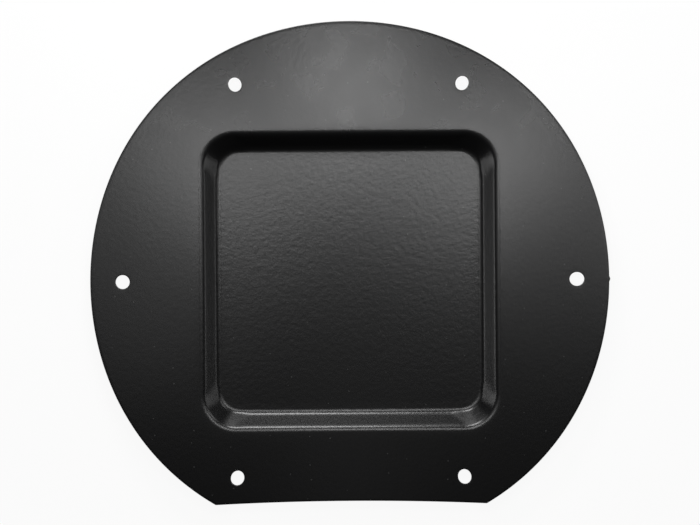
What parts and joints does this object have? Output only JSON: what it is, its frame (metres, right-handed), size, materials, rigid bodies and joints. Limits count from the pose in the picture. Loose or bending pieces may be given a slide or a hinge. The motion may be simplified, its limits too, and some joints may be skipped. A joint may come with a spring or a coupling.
{
  "type": "round cover plate with rectangular recess",
  "caption": "Round pressed-steel cover plate with a trimmed lower edge, a square recess with sloping walls, and evenly spaced bolt holes near its rim.",
  "frame": {"origin": "centre of the bolt circle on the back face of the flange", "axes": "+Z is the outward normal of the visible front face, +Y points away from the trimmed lower edge, and two bolt holes lie on the X axis"},
  "size_m": [0.2392, 0.2223, 0.0092],
  "materials": {
    "black_powder_coat": "satin black powder coat with a light orange peel"
  },
  "bodies": {
    "root": {"cover_plate": "black_powder_coat"}
  },
  "joints": []
}
